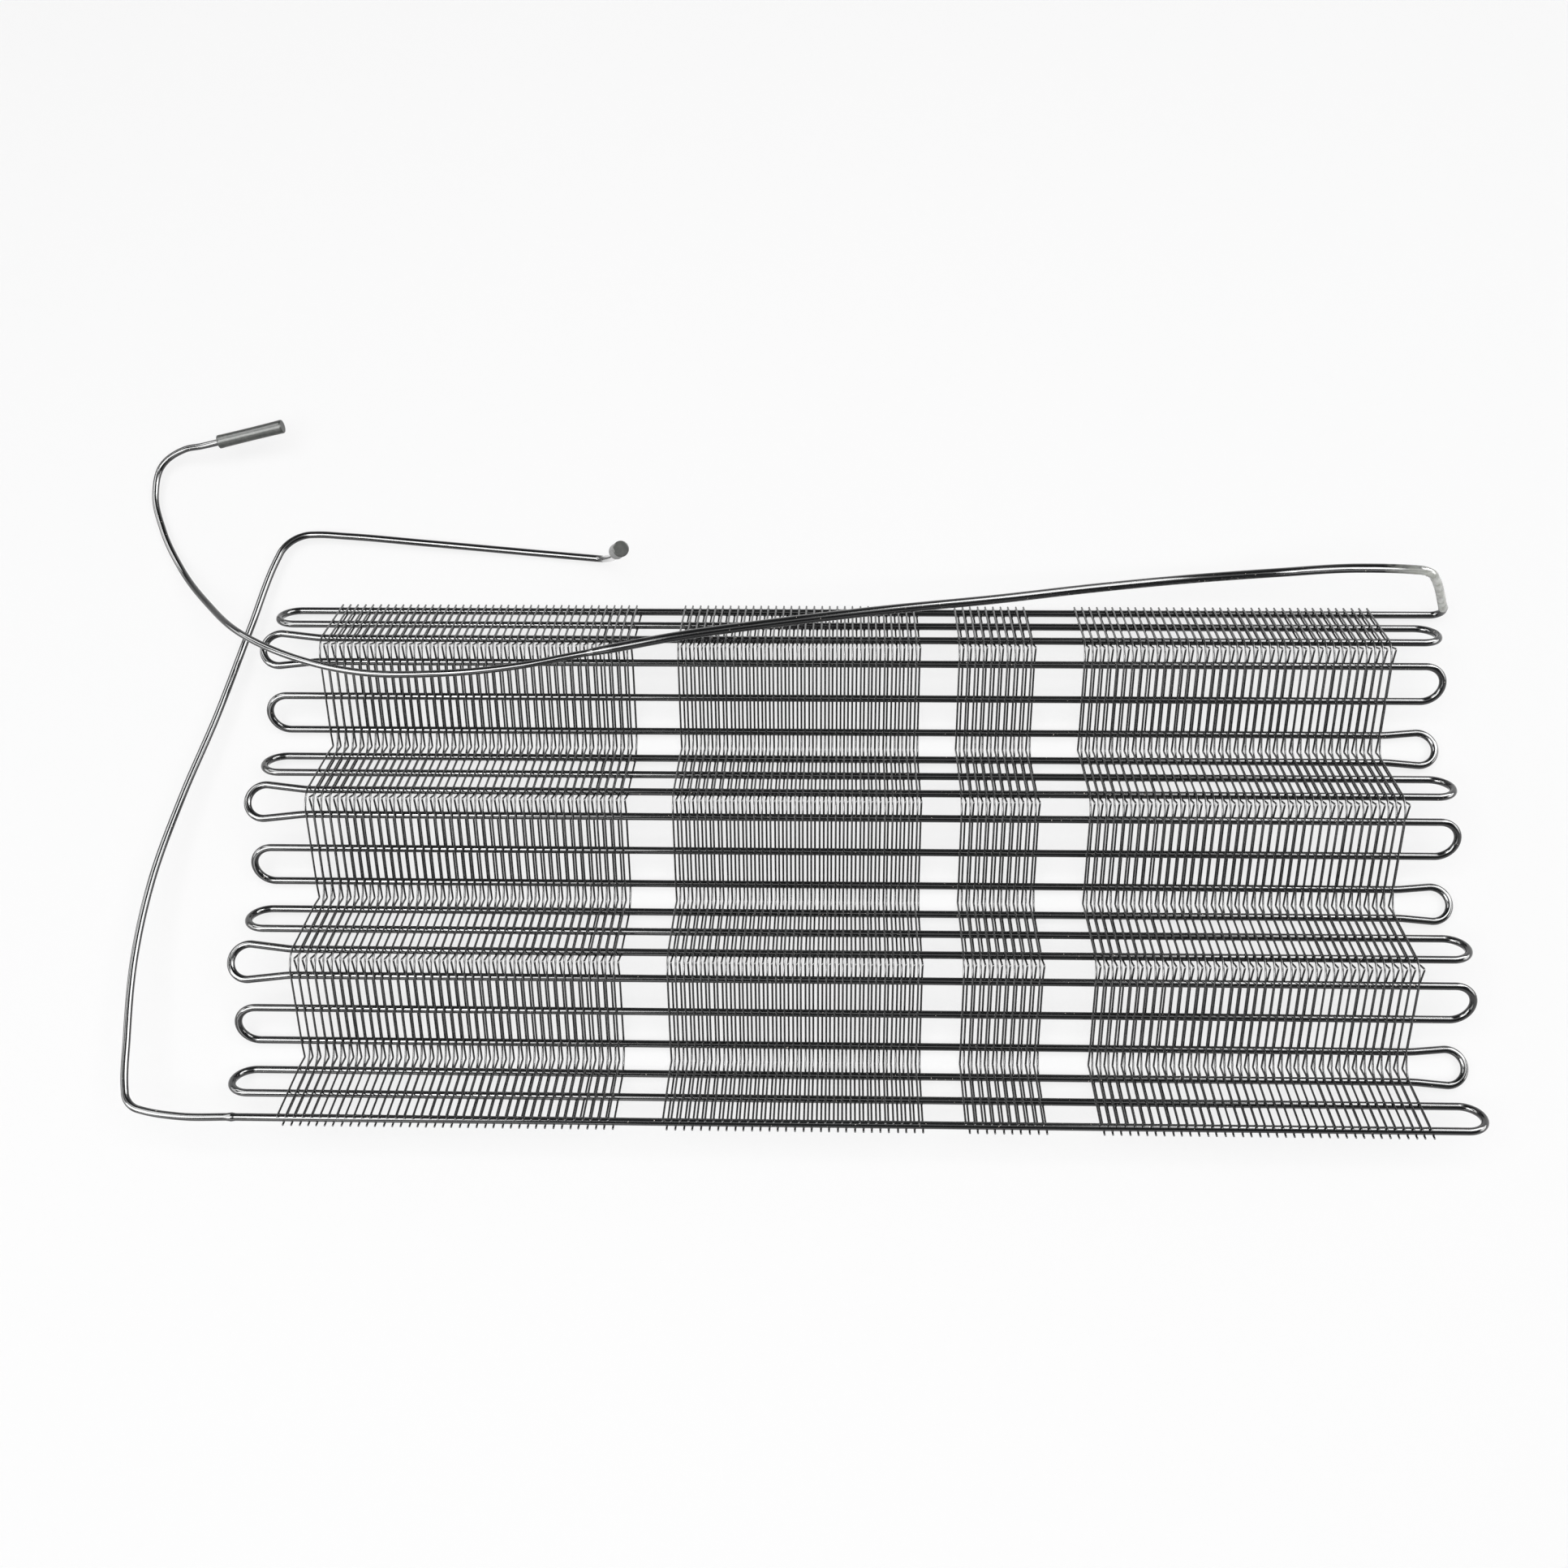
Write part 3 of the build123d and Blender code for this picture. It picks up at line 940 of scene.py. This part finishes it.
def cap_mesh(name, mouth, aim, sides=40):
    """The cap's profile turned about its axis. The end and the mouth close at a centre point."""
    across = aim.orthogonal().normalized()
    side_way = aim.cross(across)
    verts = [mouth * MM]
    for radius, along in cap_profile[1:-1]:
        for side in range(sides):
            angle = 2 * math.pi * side / sides
            way = across * math.cos(angle) + side_way * math.sin(angle)
            verts.append((mouth + aim * along + way * radius) * MM)
    verts.append((mouth + aim * cap_profile[-1][1]) * MM)
    last = len(verts) - 1
    faces = []
    rings = len(cap_profile) - 2
    for side in range(sides):
        after = (side + 1) % sides
        faces.append((0, 1 + after, 1 + side))
        for ring in range(rings - 1):
            low = 1 + ring * sides
            high = low + sides
            faces.append((low + side, low + after, high + after, high + side))
        top = 1 + (rings - 1) * sides
        faces.append((top + side, top + after, last))
    mesh = bpy.data.meshes.new(name)
    mesh.from_pydata(verts, [], faces)
    in_middle = [0 not in face and last not in face for face in faces]
    mesh.polygons.foreach_set("use_smooth", in_middle)
    ends = [face for face, inner in zip(mesh.polygons, in_middle) if not inner]
    rims = {key for face in ends for key in face.edge_keys if 0 not in key and last not in key}
    mesh.edges.foreach_set("use_edge_sharp", [edge.key in rims for edge in mesh.edges])
    mesh.update()
    piece = bpy.data.objects.new(name, mesh)
    bpy.context.scene.collection.objects.link(piece)
    return piece


rubber = cap_paint()
hot_gas_cap = cap_mesh("hot_gas_cap_moulded", hot_gas_cap_mouth, hot_gas_cap_aim)
outlet_cap = cap_mesh("outlet_cap_moulded", outlet_cap_mouth, stub_aim)
for piece, node in ((hot_gas_cap, "hot_gas_cap"), (outlet_cap, "outlet_cap")):
    piece.data.materials.append(rubber)
    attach(piece, "root")
    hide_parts(node)
print("caps", 2 * cap_radius, "mm wide and", cap_length, "mm long")

# %% [markdown]
# The coil is photographed from almost straight above on a white table. To the camera and in
# reflections, three quarters of the floor is an even white glow. The last quarter is a real white
# surface under the lamps, and that is what holds the soft shadows.

# %% Floor
def floor_finish():
    """White paper for the lamps, with an even glow for the camera and the reflections."""
    material, nodes, links = new_material("white_table")
    shader = nodes["Principled BSDF"]
    shader.inputs["Base Color"].default_value = (0.9, 0.9, 0.9, 1)
    shader.inputs["Roughness"].default_value = 0.9
    rays = nodes.new("ShaderNodeLightPath")
    seen = rays.outputs["Is Camera Ray"]
    for kind in ("Is Glossy Ray", "Is Transmission Ray"):
        either = nodes.new("ShaderNodeMath")
        either.operation = "MAXIMUM"
        links.new(seen, either.inputs[0])
        links.new(rays.outputs[kind], either.inputs[1])
        seen = either.outputs["Value"]
    share = nodes.new("ShaderNodeMath")
    share.operation = "MULTIPLY"
    share.inputs[1].default_value = glow_share
    links.new(seen, share.inputs[0])
    glow = nodes.new("ShaderNodeEmission")
    mix = nodes.new("ShaderNodeMixShader")
    links.new(share.outputs["Value"], mix.inputs["Fac"])
    links.new(shader.outputs["BSDF"], mix.inputs[1])
    links.new(glow.outputs["Emission"], mix.inputs[2])
    links.new(mix.outputs["Shader"], nodes["Material Output"].inputs["Surface"])
    return material


glow_share = 0.76
floor_half = 6.0
floor_mesh = bpy.data.meshes.new("floor")
corner_sides = ((-1, -1), (1, -1), (1, 1), (-1, 1))
corners = [(floor_half * x_side, floor_half * y_side, 0) for x_side, y_side in corner_sides]
floor_mesh.from_pydata(corners, [], [(0, 1, 2, 3)])
floor = bpy.data.objects.new("floor", floor_mesh)
bpy.context.scene.collection.objects.link(floor)
floor.data.materials.append(floor_finish())
print("floor", 2 * floor_half, "m wide")

# %% [markdown]
# Black gloss only shows what it reflects, so the room round the coil is part of its look. Low
# down the room is white, and the steep sides of the tubes pick that up. Overhead it is dark, which
# keeps the tops of the tubes and wires black.

# %% World
world = bpy.data.worlds.new("studio")
bpy.context.scene.world = world
world.use_nodes = True
world_nodes = world.node_tree.nodes
world_links = world.node_tree.links
room = world_nodes["Background"]
look = world_nodes.new("ShaderNodeTexCoord")
height = world_nodes.new("ShaderNodeSeparateXYZ")
world_links.new(look.outputs["Generated"], height.inputs["Vector"])
white = (1, 1, 1)
dark = (0.06, 0.06, 0.062)
white_to = 0.15
dark_from = 0.4
rise = height.outputs["Z"]
walls = colour_ramp(world_nodes, world_links, rise, white_to, white, dark_from, dark)
world_links.new(walls, room.inputs["Color"])
room.inputs["Strength"].default_value = 1.0
for shade, share in (("white to", white_to), ("dark from", dark_from)):
    print("the room is", shade, round(math.degrees(math.asin(share))), "degrees up")

# %% [markdown]
# The lamps are drawn as shapes, and each does one job. The overhead lamp lights the colours and
# the floor but isn't mirrored in the gloss. All the others are seen only in the gloss: a faint
# gleam from above, strips that brighten step by step towards panels at both sides, for the streaks
# on the leads and the return bends, and low panels for the tubes' flanks.

# %% Lamps
def soft_box(name, place, aim, size_x, size_y, glow, lights):
    """A flat lamp about as bright as glow, where 1 is white paper. It lights colour or gloss."""
    lamp = bpy.data.lights.new(name, "AREA")
    lamp.shape = "RECTANGLE"
    lamp.size = size_x
    lamp.size_y = size_y
    lamp.energy = glow * math.pi * size_x * size_y
    holder = bpy.data.objects.new(name, lamp)
    bpy.context.scene.collection.objects.link(holder)
    holder.location = place
    holder.rotation_euler = (Vector(aim) - Vector(place)).to_track_quat("-Z", "Y").to_euler()
    holder.visible_diffuse = lights == "colour"
    holder.visible_glossy = lights == "gloss"


soft_box("overhead", (0.0, -0.3, 1.9), (0, 0, 0), 2.4, 1.8, 3.0, "colour")
soft_box("overhead_gleam", (0.0, -0.2, 1.9), (0, 0, 0), 2.4, 0.7, 1.6, "gloss")
left_strip = 0.13
right_strip = 0.11
for number, glow in enumerate((3.0, 7.0, 12.0)):
    x = -0.4 - left_strip * number
    soft_box(f"left_edge_{number}", (x, -0.55, 1.55), (x, 0, 0), left_strip, 1.6, glow, "gloss")
    x = 0.56 + right_strip * number
    aim = (x - 0.1, 0, 0)
    soft_box(f"right_edge_{number}", (x, 0.9, 1.5), aim, right_strip, 1.8, glow, "gloss")
soft_box("left_panel", (-1.25, -0.55, 1.4), (-0.5, 0, 0), 1.1, 1.8, 18.0, "gloss")
soft_box("right_panel", (1.45, 0.85, 1.35), (0.5, 0, 0), 1.1, 1.9, 18.0, "gloss")
soft_box("front_panel", (-1.4, -3.0, 0.75), (-0.2, 0, 0), 2.4, 0.8, 4.0, "gloss")
soft_box("right_low_panel", (2.6, 0.3, 0.7), (0.4, 0, 0), 2.4, 1.1, 9.0, "gloss")
soft_box("left_low_panel", (-2.6, -0.2, 0.7), (-0.4, 0, 0), 2.4, 1.1, 7.0, "gloss")
soft_box("left_back_panel", (-1.5, 0.95, 1.4), (-0.5, 0.2, 0), 0.8, 1.3, 12.0, "gloss")
print("lamps", len(bpy.data.lights))

# %% [markdown]
# The camera repeats the photograph's: about 1.2 m above the coil, a little in front of it and
# tilted by 17 degrees. The lens gives the same spread of view across the frame's width; the frame's
# size and shape are not set here.

# %% Camera
camera_data = bpy.data.cameras.new("camera")
camera_data.sensor_width = 36.0
camera_data.lens = 43.038
camera_data.clip_end = 30.0
camera = bpy.data.objects.new("camera", camera_data)
bpy.context.scene.collection.objects.link(camera)
camera.location = (-0.00647, -0.31511, 1.18029)
camera.rotation_euler = (math.radians(17.398), math.radians(1.460), math.radians(0.854))
bpy.context.scene.camera = camera
bpy.context.scene.view_settings.view_transform = "Standard"
print("camera", round(camera.location.z, 2), "m above the table")
